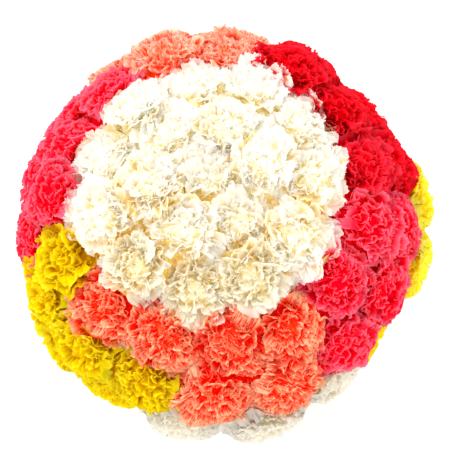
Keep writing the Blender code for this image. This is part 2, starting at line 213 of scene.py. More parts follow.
# What counts towards that: depth below the rims and nearness to the claw, which bring the painted shade,
# and the petal's own draw as a share of the blotches
DEPTH_WEIGHT = 0.75
CLAW_WEIGHT = 0.40
OWN_WEIGHT = 0.5
OWN_SPREAD = 3.77  # makes a draw of its own from a petal's tone
BLOTCH_SCALE = 1.7
BLOTCH_ALONG = 2.0
STREAK_SCALE = 2.8
STREAK_ACROSS = 3.6  # above 1 makes the streaks narrow
STREAKS_FROM = 0.45  # level of the streaks' noise where they start to show
STREAKS_FULL = 0.55  # and where they show in full
RIM_FROM = 0.9375  # place along a petal where the rim's colour starts
RIM_SLOPE = 8.0  # how fast it sets in from there
RIM_STREAKS = 0.10  # how far the streaks move that place
LIGHT_THROUGH = 0.52  # share of the light that passes through
STEM_GREENS = ((0.30, "58754A"), (0.52, "7C9668"), (0.72, "A3B58F"))
FIBRE_GREEN = "54703F"
CUT_GREEN = "C9D2A0"
PATCH_SCALE = 38.0
STEM_FIBRES = 14.0  # how much narrower than long the fibres are
TWINE_FIBRES = 10.0
TWINE_BROWNS = ((0.25, "6E522D"), (0.5, "A98A58"), (0.75, "D6BD8B"))
# The third value of a growth's points, by what they belong to
STEM_KIND = 0.0
CALYX_KIND = 0.2
LEAF_KIND = 0.5
CUT_KIND = 1.0


class Nodes:
    """A material's node tree, with short calls to add and link nodes."""

    def __init__(self, name):
        self.material = bpy.data.materials.new(name)
        self.material.use_nodes = True
        self.tree = self.material.node_tree
        self.tree.nodes.clear()

    def add(self, kind, **values):
        node = self.tree.nodes.new(kind)
        for key, value in values.items():
            setattr(node, key, value)
        return node

    def link(self, source, target):
        self.tree.links.new(source, target)

    def feed(self, sockets, values):
        """Gives each socket its value, or links it where that is another node's output."""
        for socket, value in zip(sockets, values):
            if isinstance(value, (int, float, tuple)):
                socket.default_value = value
            else:
                self.link(value, socket)

    def attribute(self, name):
        return self.add("ShaderNodeAttribute", attribute_name=name)

    def split(self, vector):
        node = self.add("ShaderNodeSeparateXYZ")
        self.link(vector, node.inputs[0])
        return node.outputs

    def maths(self, operation, *values, clamp=False):
        node = self.add("ShaderNodeMath", operation=operation, use_clamp=clamp)
        self.feed(node.inputs, values)
        return node.outputs[0]

    def mix(self, factor, first, second):
        node = self.add("ShaderNodeMix", data_type="RGBA")
        self.feed((node.inputs["Factor"], node.inputs["A"], node.inputs["B"]), (factor, first, second))
        return node.outputs["Result"]

    def vector(self, x, y, z):
        node = self.add("ShaderNodeCombineXYZ")
        self.feed(node.inputs, (x, y, z))
        return node.outputs[0]

    def noise(self, vector, scale, detail, roughness=0.55):
        node = self.add("ShaderNodeTexNoise")
        node.inputs["Scale"].default_value = scale
        node.inputs["Detail"].default_value = detail
        node.inputs["Roughness"].default_value = roughness
        self.link(vector, node.inputs["Vector"])
        return node.outputs["Fac"]

    def ramp(self, factor, stops):
        node = self.add("ShaderNodeValToRGB")
        elements = node.color_ramp.elements
        while len(elements) < len(stops):
            elements.new(0.5)
        for element, (position, colour) in zip(elements, stops):
            element.position = position
            element.color = colour
        self.link(factor, node.inputs["Fac"])
        return node.outputs["Color"]

    def bump(self, height, strength, distance):
        node = self.add("ShaderNodeBump")
        node.inputs["Strength"].default_value = strength
        node.inputs["Distance"].default_value = distance
        self.link(height, node.inputs["Height"])
        return node.outputs["Normal"]

    def surface(self, shader):
        output = self.add("ShaderNodeOutputMaterial")
        self.link(shader, output.inputs["Surface"])
        return self.material


def palette(bloom):
    """The colours of a bloom: white blooms take painted shade, creamier and darker towards the front and
    greyer in the low skirt, and rose and yellow blooms are deeper or paler in some places.
    """
    x, y, _ = bloom.middle
    # White blooms get painted shade where less light reaches them
    if bloom.colour == "white" and bloom.ring == SKIRT_RING:
        return "shaded_white"
    if bloom.colour == "white" and y < FRONT_SHADED_BELOW:
        return "cream"
    if bloom.colour == "white" and y < LIGHTLY_SHADED_BELOW:
        return "milk"
    if bloom.colour == "rose" and x > 0.0 and y > CRIMSON_FROM:
        return "crimson"
    if bloom.colour == "yellow" and x > 0.0 and y > LEMON_FROM:
        return "lemon"
    return bloom.colour


def petal_material(name):
    """Petal tissue: darker and warmer in the folds, partly its own colour and partly painted shade, light
    at the rim, with fine streaks that run along the petal.
    """
    light, body, fold_shade, deep_shade, rim, streak = (srgb(code) for code in PETALS[name][:6])
    streak_share, rim_share, blotch_share = PETALS[name][6:]
    nodes = Nodes(f"petals_{name}")
    across, along, tone = nodes.split(nodes.attribute("petal").outputs["Vector"])
    depth = nodes.attribute("depth").outputs["Fac"]
    narrow = nodes.vector(nodes.maths("MULTIPLY", across, STREAK_ACROSS), along, tone)
    streaks = nodes.noise(narrow, STREAK_SCALE, detail=4.0, roughness=0.7)
    wide = nodes.vector(across, nodes.maths("MULTIPLY", along, BLOTCH_ALONG), tone)
    blotch = nodes.noise(wide, BLOTCH_SCALE, detail=2.0)

    # From the open blade into the folds: its own colours, with painted shade that deepens below the rims
    # and towards the claw
    near_claw = nodes.maths("MULTIPLY_ADD", along, -CLAW_WEIGHT, CLAW_WEIGHT)
    shade_and_tone = nodes.maths("MULTIPLY_ADD", depth, DEPTH_WEIGHT, near_claw)
    blotched = nodes.maths("MULTIPLY_ADD", blotch, blotch_share, -blotch_share / 2)
    shade_and_tone = nodes.maths("ADD", shade_and_tone, blotched)
    own = nodes.maths("FRACT", nodes.maths("MULTIPLY", tone, OWN_SPREAD))
    own_share = blotch_share * OWN_WEIGHT
    shade_and_tone = nodes.maths("ADD", shade_and_tone, nodes.maths("MULTIPLY_ADD", own, own_share, -own_share / 2))
    colours = nodes.ramp(shade_and_tone, list(zip(SHADE_STOPS, (light, body, fold_shade, deep_shade))))

    # The streaks and the rim lie over that
    steep = 1.0 / (STREAKS_FULL - STREAKS_FROM)
    line = nodes.maths("MULTIPLY_ADD", streaks, steep, -STREAKS_FROM * steep, clamp=True)
    colours = nodes.mix(nodes.maths("MULTIPLY", line, streak_share), colours, streak)
    edge = nodes.maths("ADD", along, nodes.maths("MULTIPLY", streaks, RIM_STREAKS))
    at_rim = nodes.maths("MULTIPLY_ADD", edge, RIM_SLOPE, -RIM_FROM * RIM_SLOPE)
    at_rim = nodes.maths("MULTIPLY", nodes.maths("MAXIMUM", at_rim, 0.0), rim_share, clamp=True)
    colours = nodes.mix(at_rim, colours, rim)

    principled = nodes.add("ShaderNodeBsdfPrincipled")
    principled.inputs["Roughness"].default_value = 0.70
    principled.inputs["Specular IOR Level"].default_value = 0.03
    nodes.link(colours, principled.inputs["Base Color"])
    nodes.link(nodes.bump(streaks, strength=0.30, distance=0.4 * MM), principled.inputs["Normal"])
    translucent = nodes.add("ShaderNodeBsdfTranslucent")
    nodes.link(colours, translucent.inputs["Color"])
    thin = nodes.maths("GREATER_THAN", tone, 0.0)
    blend = nodes.add("ShaderNodeMixShader")
    nodes.link(nodes.maths("MULTIPLY", thin, LIGHT_THROUGH), blend.inputs[0])
    nodes.link(principled.outputs[0], blend.inputs[1])
    nodes.link(translucent.outputs[0], blend.inputs[2])
    return nodes.surface(blend.outputs[0])


def stem_material():
    """Smooth grey-green skin with a waxy bloom, fibres along the stem, and paler cut ends."""
    nodes = Nodes("stems")
    around, along, kind = nodes.split(nodes.attribute("growth").outputs["Vector"])
    narrow = nodes.vector(nodes.maths("MULTIPLY", around, STEM_FIBRES), along, kind)
    fibres = nodes.noise(narrow, scale=3.0, detail=3.0)
    patches = nodes.noise(nodes.add("ShaderNodeTexCoord").outputs["Object"], PATCH_SCALE, detail=4.0)
    green = nodes.ramp(patches, [(place, srgb(code)) for place, code in STEM_GREENS])
    green = nodes.mix(nodes.maths("MULTIPLY", fibres, 0.35), green, srgb(FIBRE_GREEN))
    green = nodes.mix(nodes.maths("GREATER_THAN", kind, CUT_KIND - 0.1), green, srgb(CUT_GREEN))
    principled = nodes.add("ShaderNodeBsdfPrincipled")
    principled.inputs["Specular IOR Level"].default_value = 0.4
    nodes.link(green, principled.inputs["Base Color"])
    nodes.link(nodes.maths("MULTIPLY_ADD", patches, 0.35, 0.35), principled.inputs["Roughness"])
    nodes.link(nodes.bump(fibres, strength=0.25, distance=0.3 * MM), principled.inputs["Normal"])
    return nodes.surface(principled.outputs[0])


def twine_material():
    """Jute: loose fibres that lie along each ply."""
    nodes = Nodes("twine")
    around, along, kind = nodes.split(nodes.attribute("growth").outputs["Vector"])
    narrow = nodes.vector(nodes.maths("MULTIPLY", around, TWINE_FIBRES), along, kind)
    fibres = nodes.noise(narrow, scale=5.0, detail=5.0, roughness=0.7)
    principled = nodes.add("ShaderNodeBsdfPrincipled")
    principled.inputs["Roughness"].default_value = 0.9
    principled.inputs["Sheen Weight"].default_value = 0.3
    brown = nodes.ramp(fibres, [(place, srgb(code)) for place, code in TWINE_BROWNS])
    nodes.link(brown, principled.inputs["Base Color"])
    nodes.link(nodes.bump(fibres, strength=0.8, distance=0.6 * MM), principled.inputs["Normal"])
    return nodes.surface(principled.outputs[0])


# Meshes


def quads(number):
    """Corner numbers of the quads of grids, given the numbers of their points, (..., row, column)."""
    corners = (number[..., :-1, :-1], number[..., :-1, 1:], number[..., 1:, 1:], number[..., 1:, :-1])
    return np.stack(corners, -1).reshape(-1, 4)


def mesh_object(name, points, faces, material, attribute, values):
    """A smooth shaded mesh whose named vector attribute holds values, one for each point."""
    mesh = bpy.data.meshes.new(name)
    mesh.vertices.add(len(points))
    mesh.vertices.foreach_set("co", np.ascontiguousarray(points, dtype=np.float32).ravel())
    mesh.loops.add(faces.size)
    mesh.loops.foreach_set("vertex_index", np.ascontiguousarray(faces, dtype=np.int32).ravel())
    mesh.polygons.add(len(faces))
    mesh.polygons.foreach_set("loop_start", np.arange(0, faces.size, faces.shape[1], dtype=np.int32))
    mesh.update(calc_edges=True)
    mesh.validate()
    layer = mesh.attributes.new(attribute, "FLOAT_VECTOR", "POINT")
    layer.data.foreach_set("vector", np.ascontiguousarray(values, dtype=np.float32).ravel())
    mesh.shade_smooth()
    mesh.materials.append(material)
    obj = bpy.data.objects.new(name, mesh)
    bpy.context.scene.collection.objects.link(obj)
    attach(obj, "root")
    return obj


# The blooms' petals. Along a petal v runs from 0 at its claw to 1 at its rim, and across it u from -1 to 1.

GOLDEN_ANGLE = math.radians(137.508)
# The dome that the petals' rims lie on
DOME_BASE = 15.5 * MM  # level of its widest plane
RIM_REACH = 38.0 * MM  # its radius there
RIM_RISE = 25.5 * MM  # its height above that plane
DOME_POWER = 2.5  # above 2 makes it flatter on top than a sphere

# Where a neighbour presses. The room on a side is the distance from the axis to the plane between the two.
NO_NEIGHBOUR = 1.0  # room where no neighbour stands
LEAST_ROOM = 1.0 * MM
LEAST_TOWARDS = 0.05  # least share of a direction that points to a neighbour
PACKED_FROM = (50.0 * MM, 31.0 * MM)  # room where a bloom isn't packed at all, and where it is fully
FREE_FROM = 60.0 * MM  # room from which on a petal keeps its usual length
PACKED_DROP = 3.6 * MM  # how far the rims between two blooms lie below their hearts
FULL_FIT = 1.28  # how far a bloom grows into the corners between its neighbours, as a factor
PACKED_RISE = 42.0  # degrees that the outermost petals stand up by where fully packed
CELL_PAST = 12.0 * MM  # how far a petal goes past the plane between two blooms at most
OVERSHOOT = 3.5 * MM  # how far a rim may rise above the dome
LOWEST = -1.0 * MM  # level that no petal goes below
DEEPEST_SHADE_DEPTH = 13.0 * MM  # below the dome, where a petal has its deepest colour and its full painted shade
HEART_SWAY = 5.5 * MM  # how far a bloom's heart may stand to the side

# What each petal draws for itself, beside the ranges of its kind
AROUND_STRAYS = (-0.25, 0.25)  # radians from its even place round the axis
OPENING_STRAYS = (-4.0, 4.0)  # degrees
RIM_STANDS = (-3.0 * MM, 2.5 * MM)  # depth of its rim below the dome
RIM_SHARES = (0.93, 1.05)  # of its rim's even distance from the axis
RUFFLE_SHARES = (0.7, 1.4)
WIDTH_SHARES = (0.85, 1.12)
TILTS = (-16.0, 16.0)  # degrees that one side of it stands above the other
PHASES = (0.0, 6.3)  # where a wave starts
TONES = (0.0, 40.0)  # place in the noises that colour it

# The middle line of a petal and its rim. The span is the distance from its start to its rim.
CLAW_RADIUS = 1.6 * MM  # least distance from the axis that a petal starts at
RISE_OUT = 0.05  # the line's second point lies this share of the rim's distance outwards from its start
RISE_UP = 0.45  # and this share of the span above it
ARRIVE_BACK = 0.42  # its third point lies this share of the span back from the rim
SIDE_DROP = 0.12  # how much shorter a petal is at its sides
UNEVEN_DROP = 0.05  # and how much that varies across it
TEETH_FROM = 0.90  # place along a petal where its teeth start
TEETH_SPAN = 0.10
TEETH_BACK = -0.35  # depth of the notch between two teeth, as a share of a tooth

# The ruffles across a petal
RUFFLE_POWER = 2.2  # they grow with this power of the place along it
UNEVEN_WAVES = 0.12  # how unevenly they are spread across it
SECOND_WAVE = (1.8, 0.40)  # count and height, as multiples of the main wave's
THIRD_WAVE = (2.9, 0.25)
BEND = 1.2 * MM  # how far a petal bends along its length
WIDENING = 1.25  # how fast a petal widens from its claw, as a factor and as a power
CURLED_BACK = 160.0  # a kind with this yaw would curl every petal backwards


class Petals:
    """One kind of petal: broad open guard petals outside, and small curled upright ones in the heart."""

    def __init__(self, **values):
        self.count = values["count"]
        self.rows = values["rows"]  # places along the petal
        self.columns = values["columns"]
        self.opening = values["opening"]  # degrees from the axis of the first and the last rim
        self.root = values["root"]  # where a petal starts, as shares of its rim's distance and height
        self.claw = values["claw"]  # width at the start, as a share of the blade's
        self.half_width = values["half_width"]
        self.ruffle = values["ruffle"]
        self.swirl = values["swirl"]  # how far the ruffles swing sideways
        self.waves = values["waves"]  # range of ruffles across a petal
        self.teeth = values["teeth"]  # longest teeth of the rim
        self.yaw = values["yaw"]  # largest turn about the petal's own middle line, in degrees
        self.wrap = values["wrap"]  # range of the radius that the blade curls round
        self.recline = values["recline"]  # range of degrees that a rim leans out beyond its place
        self.past = values["past"]  # range of how far a packed petal reaches past the plane


KINDS = (
    Petals(
        count=12, rows=(0.0, 0.36, 0.62, 0.82, 0.93, 1.0), columns=33, opening=(101.0, 72.0),
        root=(0.0, 0.0), claw=0.10, half_width=20.0 * MM,
        ruffle=2.6 * MM, swirl=1.7 * MM, waves=(2.2, 4.0), teeth=1.6 * MM,
        yaw=16.0, wrap=(24.0 * MM, 60.0 * MM), recline=(-14.0, 18.0), past=(-3.0 * MM, 8.0 * MM),
    ),
    Petals(
        count=19, rows=(0.0, 0.32, 0.56, 0.75, 0.90, 1.0), columns=31, opening=(80.0, 28.0),
        root=(0.06, 0.12), claw=0.20, half_width=15.5 * MM,
        ruffle=2.6 * MM, swirl=1.8 * MM, waves=(1.9, 3.4), teeth=1.3 * MM,
        yaw=30.0, wrap=(14.0 * MM, 46.0 * MM), recline=(-4.0, 34.0), past=(-3.0 * MM, 6.0 * MM),
    ),
    Petals(
        count=38, rows=(0.0, 0.45, 0.76, 0.92, 1.0), columns=21, opening=(44.0, 0.0),
        root=(0.70, 0.50), claw=0.80, half_width=8.0 * MM,
        ruffle=1.8 * MM, swirl=1.6 * MM, waves=(1.1, 2.2), teeth=0.8 * MM,
        yaw=80.0, wrap=(5.0 * MM, 14.0 * MM), recline=(-8.0, 46.0), past=(0.0, 0.0),
    ),
)

# The closed middle of a bloom, a ruffled sheet below the petals' rims
CUSHION_RADII = (36.0 * MM, 54.0 * MM)  # where it is free, and between neighbours
CUSHION_ROOMS = (70.0 * MM, 56.0 * MM)  # room for a bloom that these go with
CUSHION_DROP = (5.0 * MM, 23.0 * MM)  # how far it lies below the dome of rims, at the axis and at its edge
CUSHION_RUFFLE = 2.2 * MM
CUSHION_PAST = 2.0 * MM  # how far it goes past the plane between two blooms
CUSHION_ROWS = 10
CUSHION_COLUMNS = 37
CUSHION_ACROSS = 2.5  # the place across a petal that its edge is coloured as
CUSHION_ALONG = (0.22, 0.15)  # the place along a petal that it is coloured as, which gives it the painted shade of a petal's claw, and how far that varies
CUSHION_TONES = (-40.0, -1.0)  # below 0, where the material lets no light through


def dome_level(radius):
    """Height of the dome of rims at this distance from a bloom's axis."""
    share = np.minimum(radius / RIM_REACH, 1.0)
    return DOME_BASE + RIM_RISE * (1.0 - share**DOME_POWER) ** (1.0 / DOME_POWER)


def packed_level(radius, room):
    """How packed a bloom is where it has this room, from 0 to 1, and how far its dome rises there."""
    share = np.minimum(radius / np.minimum(room, RIM_REACH * FULL_FIT), 1.0)
    packed = smooth_step((PACKED_FROM[0] - room) / (PACKED_FROM[0] - PACKED_FROM[1]))
    return packed, packed * (DOME_BASE + RIM_RISE - PACKED_DROP * share**4 - dome_level(share * RIM_REACH))


def signed_power(values, power):
    return np.sign(values) * np.abs(values) ** power


def smooth_step(values):
    values = np.clip(values, 0.0, 1.0)
    return values * values * (3.0 - 2.0 * values)


def room_at(planes, azimuth, level):
    """Distance from a bloom's axis to the nearest of the planes between it and its neighbours."""
    room = np.full(np.broadcast(azimuth, level).shape, NO_NEIGHBOUR)
    for (x, y, z), distance in planes:
        towards = x * np.cos(azimuth) + y * np.sin(azimuth)
        straight = np.maximum(distance - (level - BLOOM_MIDDLE) * z, LEAST_ROOM)
        limit = straight / np.maximum(towards, LEAST_TOWARDS)
        room = np.minimum(room, np.where(towards > LEAST_TOWARDS, limit, NO_NEIGHBOUR))
    return room


def rim_places(kind, planes, each):
    """Turn round the axis, radius, height and lean of each petal's rim.

    The rims lie on a dome, whose equal areas have as many of them, and stand up where a neighbour presses.
    """
    number = np.arange(kind.count).reshape(-1, 1, 1)
    rank = (number + 0.5) / kind.count
    around = number * GOLDEN_ANGLE + each(*AROUND_STRAYS)
    first, last = (math.radians(angle) for angle in kind.opening)
    opening = np.sqrt(first**2 + (last**2 - first**2) * rank) + np.radians(each(*OPENING_STRAYS))
    height = DOME_BASE + RIM_RISE * signed_power(np.cos(opening), 2.0 / DOME_POWER) - each(*RIM_STANDS)
    room = room_at(planes, around, height)
    fit = np.where(room > FREE_FROM, 1.0, np.minimum(room / RIM_REACH, FULL_FIT))
    radius = RIM_REACH * signed_power(np.sin(opening), 2.0 / DOME_POWER) * fit * each(*RIM_SHARES)
    packed, lift = packed_level(radius, room)
    radius = radius + packed * each(*kind.past)
    lean = opening + np.radians(each(*kind.recline) - packed * PACKED_RISE * np.sin(opening))
    return around, radius, height + lift, lean


def middle_lines(kind, u, v, rims, draw, each):
    """Points along each petal's middle line, and the directions out of its face there, as (radius, height).

    The line is a cubic curve in a plane through the axis, up from the claw and out to the rim.
    """
    radius, height, lean = rims
    start_radius = CLAW_RADIUS + kind.root[0] * radius
    start_height = kind.root[1] * height
    span = np.hypot(radius - start_radius, height - start_height)
    start = np.stack((start_radius, start_height), -1)
    rise = np.stack((start_radius + RISE_OUT * radius, start_height + RISE_UP * span), -1)
    back = ARRIVE_BACK * span
    arrive = np.stack((radius - back * np.sin(lean), height - back * np.cos(lean)), -1)
    rim = np.stack((radius, height), -1)

    # The teeth and the drop at the sides lengthen and shorten the petal
    teeth = draw.uniform(0.1, 1.0, (kind.count, 1, kind.columns))
    teeth = teeth * np.where(np.arange(kind.columns) % 2, 1.0, TEETH_BACK)
    near_rim = np.clip((v - TEETH_FROM) / TEETH_SPAN, 0.0, 1.0)
    drop = SIDE_DROP * u**2 + UNEVEN_DROP * np.sin(u * each(2.5, 4.5) + each(*PHASES))
    t = (v * (1.0 - drop * v**2) + teeth * kind.teeth / span * near_rim)[..., None]
    s = 1.0 - t
    line = start * s**3 + 3 * rise * s**2 * t + 3 * arrive * s * t**2 + rim * t**3
    slope = 3 * ((rise - start) * s**2 + 2 * (arrive - rise) * s * t + (rim - arrive) * t**2)
    slope = slope / np.linalg.norm(slope, axis=-1, keepdims=True)
    return line, np.stack((-slope[..., 1], slope[..., 0]), -1)


def ruffles(kind, u, v, each):
    """How far each point swings out of its petal's face and sideways, and half the width of each petal.

    Ruffles grow towards the rim, and fold over sideways.
    """
    grow = v**RUFFLE_POWER
    uneven = u + UNEVEN_WAVES * np.sin(math.pi * u * each(0.8, 1.6) + each(*PHASES))

    def wave(count):
        return np.sin(math.pi * count * uneven + each(-math.pi, math.pi))

    waves = each(*kind.waves)
    phase = each(*PHASES)
    main_wave = np.sin(math.pi * waves * uneven + phase)
    sway = kind.swirl * grow * np.cos(math.pi * waves * uneven + phase + each(-0.8, 0.8))
    height = kind.ruffle * each(*RUFFLE_SHARES) * grow
    second_wave = SECOND_WAVE[1] * wave(SECOND_WAVE[0] * waves)
    third_wave = THIRD_WAVE[1] * wave(THIRD_WAVE[0] * waves) * v**3
    push = height * (main_wave + second_wave + third_wave)
    push = push + BEND * v * np.sin(3.0 * v + 1.7 * u + each(*PHASES))
    half_width = kind.half_width * each(*WIDTH_SHARES)
    push = push + u * grow * half_width * np.sin(np.radians(each(*TILTS)))
    return push, sway, half_width


def curled(kind, u, v, swings, each):
    """The same swings of a blade that curls across its width and is turned about its middle line."""
    push, sway, half_width = swings
    width = half_width * (kind.claw + (1.0 - kind.claw) * np.clip(v * WIDENING, 0.0, 1.0) ** WIDENING)
    curl = each(*kind.wrap)
    angle = width * u / curl
    lateral = curl * np.sin(angle) + sway
    hand = np.where(each(0.0, 1.0) < kind.yaw / CURLED_BACK, -1.0, 1.0)
    push = push + hand * curl * (1.0 - np.cos(angle))
    yaw = np.radians(each(-kind.yaw, kind.yaw))
    return push * np.cos(yaw) + lateral * np.sin(yaw), lateral * np.cos(yaw) - push * np.sin(yaw)


def petal_grid(kind, planes, draw):
    """Points of all petals of one kind round +Z, (petal, row, column, 3), and their (u, v, tone)."""

    def each(low, high):
        return draw.uniform(low, high, (kind.count, 1, 1))

    shape = (kind.count, len(kind.rows), kind.columns)
    u = np.broadcast_to(np.linspace(-1.0, 1.0, kind.columns), shape)
    v = np.broadcast_to(np.array(kind.rows).reshape(1, -1, 1), shape)
    around, *rims = rim_places(kind, planes, each)
    line, face = middle_lines(kind, u, v, rims, draw, each)
    push, sideways = curled(kind, u, v, ruffles(kind, u, v, each), each)
    radial = line[..., 0] + face[..., 0] * push
    level = line[..., 1] + face[..., 1] * push
    x = radial * np.cos(around) - sideways * np.sin(around)
    y = radial * np.sin(around) + sideways * np.cos(around)
    tone = np.broadcast_to(each(*TONES), shape)
    return fitted(x, y, level, planes), np.stack((u, v, tone), -1)


def fitted(x, y, level, planes):
    """The points, drawn in softly where they go too far past a neighbour or above the dome."""
    radius = np.hypot(x, y) + 1e-9
    room = room_at(planes, np.arctan2(y, x), level)
    past = np.maximum(radius - room, 0.0)
    inward = (radius - past + CELL_PAST * np.tanh(past / CELL_PAST)) / radius
    over = np.maximum(level - dome_level(radius * inward) - packed_level(radius * inward, room)[1], 0.0)
    level = level - over + OVERSHOOT * np.tanh(over / OVERSHOOT)
    return np.stack((x * inward, y * inward, np.maximum(level, LOWEST)), -1)


def cushion_grid(planes, draw):
    """The closed middle of a bloom as one grid that goes all the way round, and its (u, v, tone)."""
    turn = np.linspace(0.0, math.tau, CUSHION_COLUMNS)
    share = np.linspace(0.0, 1.0, CUSHION_ROWS)[:, None]
    room = room_at(planes, turn + 0.0 * share, DOME_BASE + RIM_RISE / 2)
    between = smooth_step((CUSHION_ROOMS[0] - room) / (CUSHION_ROOMS[0] - CUSHION_ROOMS[1]))
    reach = CUSHION_RADII[0] + (CUSHION_RADII[1] - CUSHION_RADII[0]) * between
    radius = np.minimum(reach, room + CUSHION_PAST) * share

    # Seven folds wind out from the axis, with shallower rings across them
    phase = draw.uniform(0.0, math.tau, 3)
    folds = np.sin(7.0 * turn + 5.0 * np.sin(9.0 * share + phase[0]) + phase[1])
    rings = np.sin(24.0 * share + 3.0 * np.sin(2.0 * turn + phase[2]))
    ruffle = folds * np.minimum(3.0 * share, 1.0) + 0.7 * rings
    drop = CUSHION_DROP[0] + (CUSHION_DROP[1] - CUSHION_DROP[0]) * share**2
    level = dome_level(radius) + packed_level(radius, room)[1] - drop + CUSHION_RUFFLE * ruffle
    points = fitted(radius * np.cos(turn), radius * np.sin(turn), level, planes)
    across = CUSHION_ACROSS * share * np.cos(turn)
    along = CUSHION_ALONG[0] + CUSHION_ALONG[1] * share * np.sin(turn)
    tone = draw.uniform(*CUSHION_TONES)
    values = np.stack(np.broadcast_arrays(across, along, tone), -1)
    return points[None], values[None]


def crease_depths(points, planes):
    """0 for points on a bloom's dome of rims, and 1 at DEEPEST_SHADE_DEPTH below it."""
    radius = np.hypot(points[..., 0], points[..., 1])
    room = room_at(planes, np.arctan2(points[..., 1], points[..., 0]), points[..., 2])
    top = dome_level(radius) + packed_level(radius, room)[1]
    return np.clip((top - points[..., 2]) / DEEPEST_SHADE_DEPTH, 0.0, 1.0)


def bloom_faces():
    """The quads of a bloom's mesh, which all blooms share: every kind's petals, then the cushion."""
    grids = [(kind.count, len(kind.rows), kind.columns) for kind in KINDS]
    grids.append((1, CUSHION_ROWS, CUSHION_COLUMNS))
    faces = []
    first = 0
    for shape in grids:
        size = math.prod(shape)
        faces.append(quads(first + np.arange(size).reshape(shape)))
        first += size
    return np.concatenate(faces)


def planes_round(bloom, blooms, turn, scale):
    """The planes to a bloom's neighbours, as (normal, distance from its middle) in its own axes."""
    planes = []
    for other in blooms:
        apart = other.middle - bloom.middle
        if other is bloom or apart.length > NEIGHBOUR_REACH:
            continue
        normal = turn @ np.array(apart.normalized()) * scale
        distance = apart.length * bloom.size / (bloom.size + other.size)
        size = np.linalg.norm(normal)
        planes.append((normal / size, distance / size))
    return planes


def make_bloom(bloom, blooms, faces, material):
    """One carnation: petals of every kind over a closed middle, held in by the neighbours."""
    draw = np.random.default_rng(3000 + bloom.seed)
    right = bloom.axis.orthogonal().normalized()
    turn = np.array((right, bloom.axis.cross(right), bloom.axis))
    scale = np.array((bloom.size, bloom.size, draw.uniform(*BLOOM_HEIGHTS)))
    planes = planes_round(bloom, blooms, turn, scale)
    grids = [petal_grid(kind, planes, draw) for kind in KINDS] + [cushion_grid(planes, draw)]
    points = np.concatenate([grid.reshape(-1, 3) for grid, _ in grids])
    values = np.concatenate([value.reshape(-1, 3) for _, value in grids])
    # How deep each point lies below the rims, which the petal material turns into painted shade
    depths = crease_depths(points, planes)
    sway = draw.uniform(-HEART_SWAY, HEART_SWAY, 2)
    points[:, :2] += sway * (points[:, 2:] / (DOME_BASE + RIM_RISE)) ** 3
    points = points * scale @ turn + np.array(bloom.base)
    name = bloom.name.replace("bloom", "petals")
    obj = mesh_object(name, points, faces, material, "petal", values)
    layer = obj.data.attributes.new("depth", "FLOAT", "POINT")
    layer.data.foreach_set("value", depths.astype(np.float32))
    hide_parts(bloom.name)


# Stems, calyxes, leaves and the tie

STEM_SIDES = 8
STEM_SHARE = 0.92  # of the solids' radius, between two joints
UPPER_STEPS = 22
LOWER_STEPS = 12
JOINT_SPACING = 75 * MM
JOINT_SWELL = 0.45  # what a joint adds to the radius, as a share of it
JOINT_LENGTH = 5 * MM
CUT_SHARE = 0.95  # width of a pale cut end, as a share of the stem's
CUT_LIFT = 0.2 * MM
GRAIN_LENGTH = 60 * MM  # length that counts as 1 in the material
SIDE_GUIDE = (0.31, 0.22, 0.05)  # the first side of a tube is square to it and to this direction
# From the foot of a calyx to the edge of its teeth: share of its length, and of its radius
CALYX_PROFILE = (
    (0.0, 0.40), (0.05, 0.62), (0.12, 0.74), (0.30, 0.80), (0.55, 0.84), (0.80, 0.92), (0.97, 1.0),
)
CALYX_SIDES = 15
CALYX_TEETH = 5
CALYX_TEETH_FROM = 0.80  # share of the length where its teeth start
CALYX_TEETH_SPAN = 0.17
CALYX_TOOTH = 4.5 * MM
CALYX_RIDGE = 0.04  # how far a tooth stands out, as a share of the radius
# Leaves, in pairs on the outer stems above the tie
LEAF_LENGTHS = (62 * MM, 84 * MM)
LEAF_WIDTH = 8.0 * MM
LEAF_PLACES = (0.30, 0.52)  # range of places along the stem, from the waist
LEAF_TURNS = (32.0, 62.0)  # range of degrees that a leaf points outwards from sideways
LEAF_EVERY = 3  # one outer stem of this many bears leaves
LEAF_STEPS = 14
LEAF_COLUMNS = 5
LEAF_CHANNEL = 0.35  # depth of its channel, as a share of half its width
LEAF_TWIST = 0.3
# The plies of the twine
TWINE_STEPS = 70  # for each turn round the waist
TWINE_LAY = 3.5  # turns of the plies about each other for each turn round the waist
TWINE_PLACE = 0.52  # the rest are shares of the twine's diameter: its distance from the stems
PLY_PLACE = 0.22  # distance of a ply from the twine's middle
PLY_RADIUS = 0.29
PLY_SIDES = 7


def waist_point(bloom, height):
    return CENTRE + turned(bloom.waist_azimuth + TWIST, WAIST_RADII[bloom.ring], height)


def bezier(a, b, c, d, t):
    s = 1.0 - t
    return a * s**3 + b * (3 * s * s * t) + c * (3 * s * t * t) + d * t**3


def upper_stem_path(bloom, steps):
    """Points of a stem from the waist to its calyx. It leans out, then follows the bloom's axis."""
    start = waist_point(bloom, WAIST.z + CORE_HEIGHT / 2 - ROOT_DEPTH)
    end = bloom.base - bloom.axis * (CALYX_LENGTH + SEAT_GAP)
    span = (end - start).length
    splay = WAIST_SPLAY * WAIST_RADII[bloom.ring] / WAIST_RADII[SKIRT_RING]
    lean = turned(bloom.waist_azimuth + TWIST, splay, 1.0)
    leave = start + lean * (span * 0.34)
    arrive = end - bloom.axis * (span * 0.30)
    return [bezier(start, leave, arrive, end, t) for t in steps]


def lengths_along(path):
    """The distance from the first point of path to each of its points."""
    return np.concatenate(([0.0], np.cumsum(np.linalg.norm(np.diff(path, axis=0), axis=1))))


